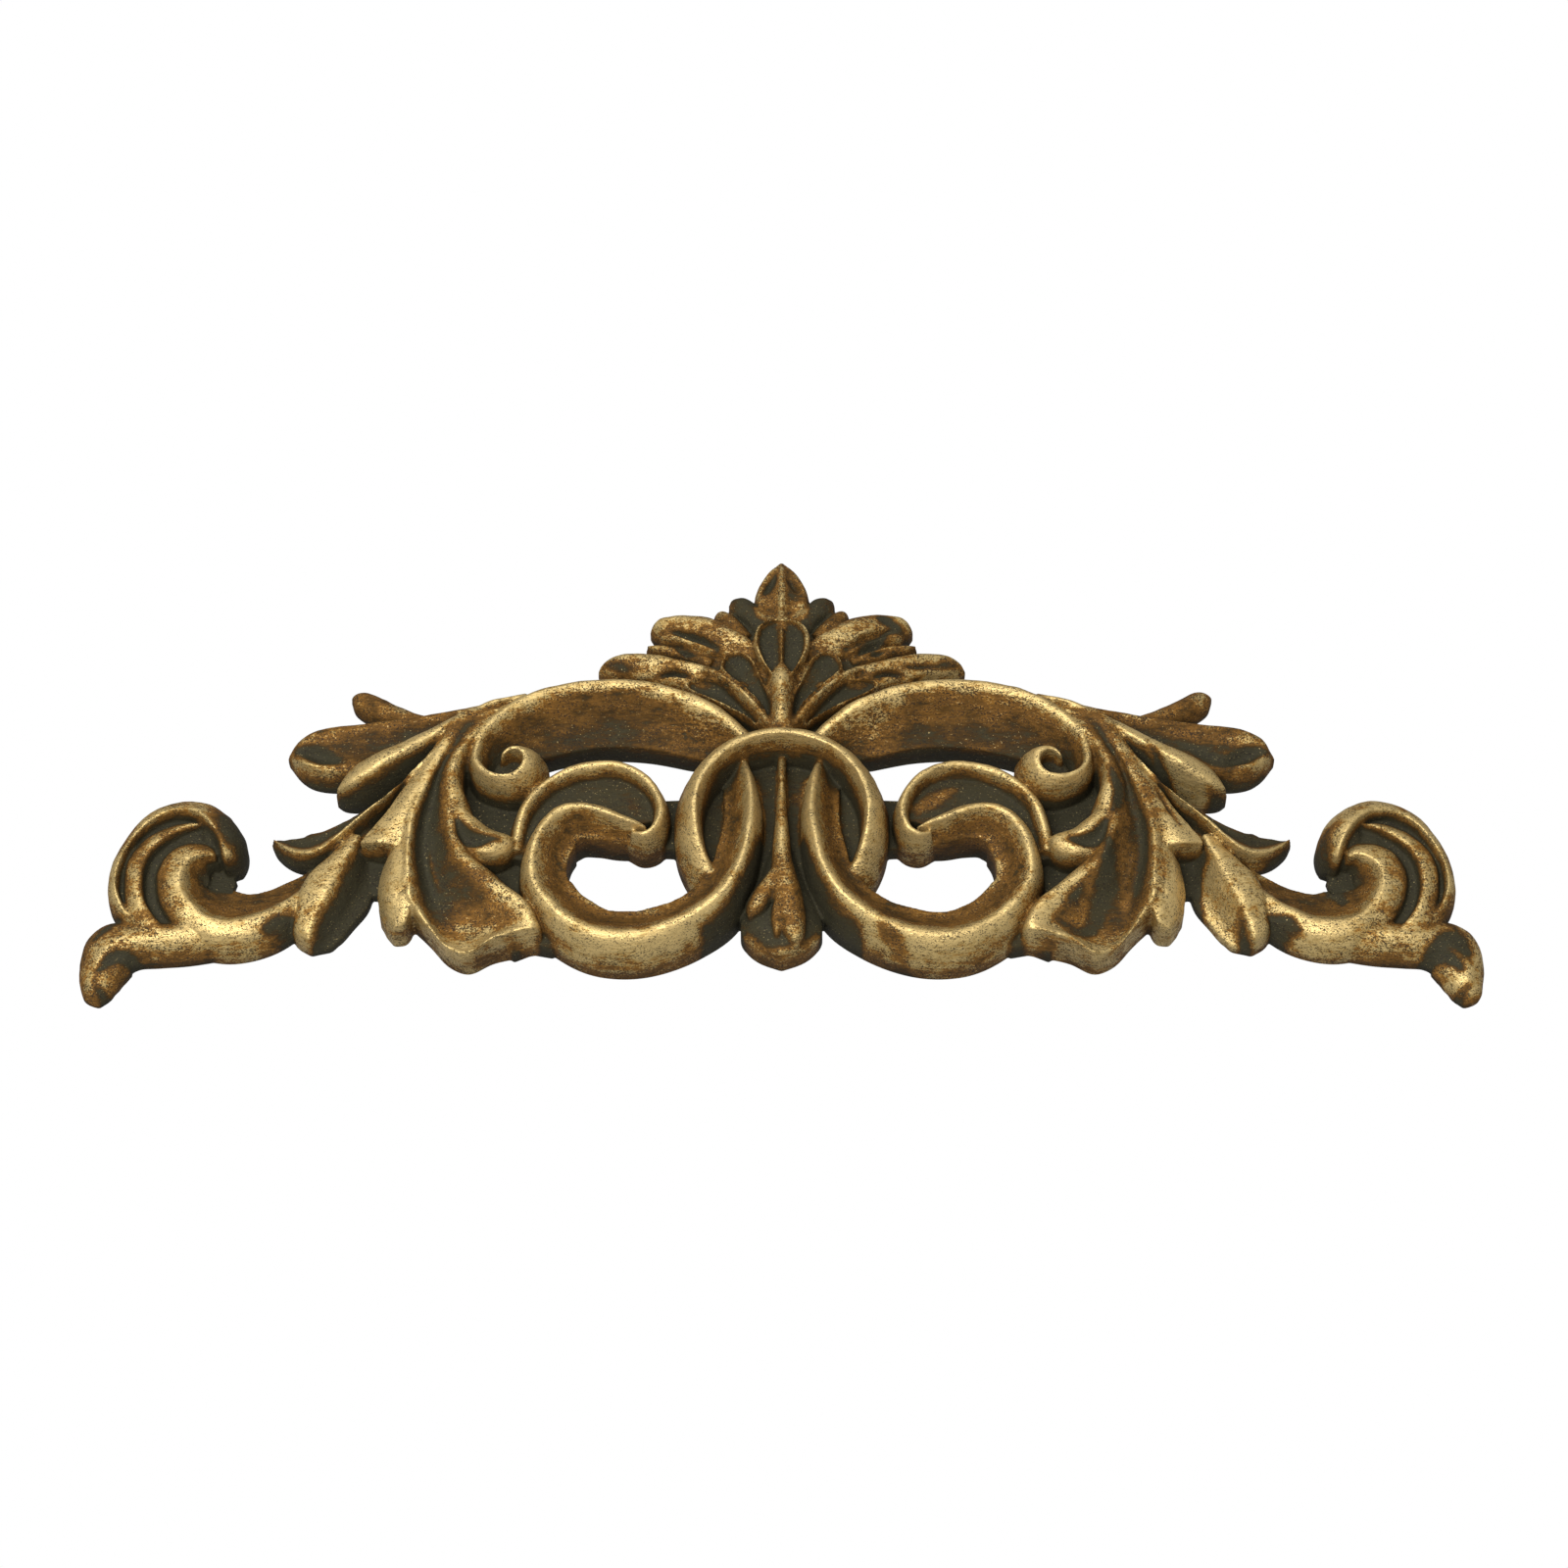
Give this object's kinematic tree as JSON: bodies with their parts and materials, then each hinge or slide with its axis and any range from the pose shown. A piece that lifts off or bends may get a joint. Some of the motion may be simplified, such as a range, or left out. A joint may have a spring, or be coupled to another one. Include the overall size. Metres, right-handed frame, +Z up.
{
  "type": "carved headpiece",
  "caption": "Openwork carved crest of mirrored scrolls and acanthus leaves with a palmette in the middle, flat behind.",
  "frame": {"origin": "on the flat back, midway along it, behind the middle of the ring", "axes": "+X along the headpiece, +Y out of the flat back into the wall, +Z up to the palmette's tip"},
  "size_m": [0.5807, 0.0355, 0.2132],
  "materials": {
    "gilt_wood": "worn gold leaf over dark brown and grey-green paint"
  },
  "bodies": {
    "root": {"headpiece": "gilt_wood"}
  },
  "joints": []
}
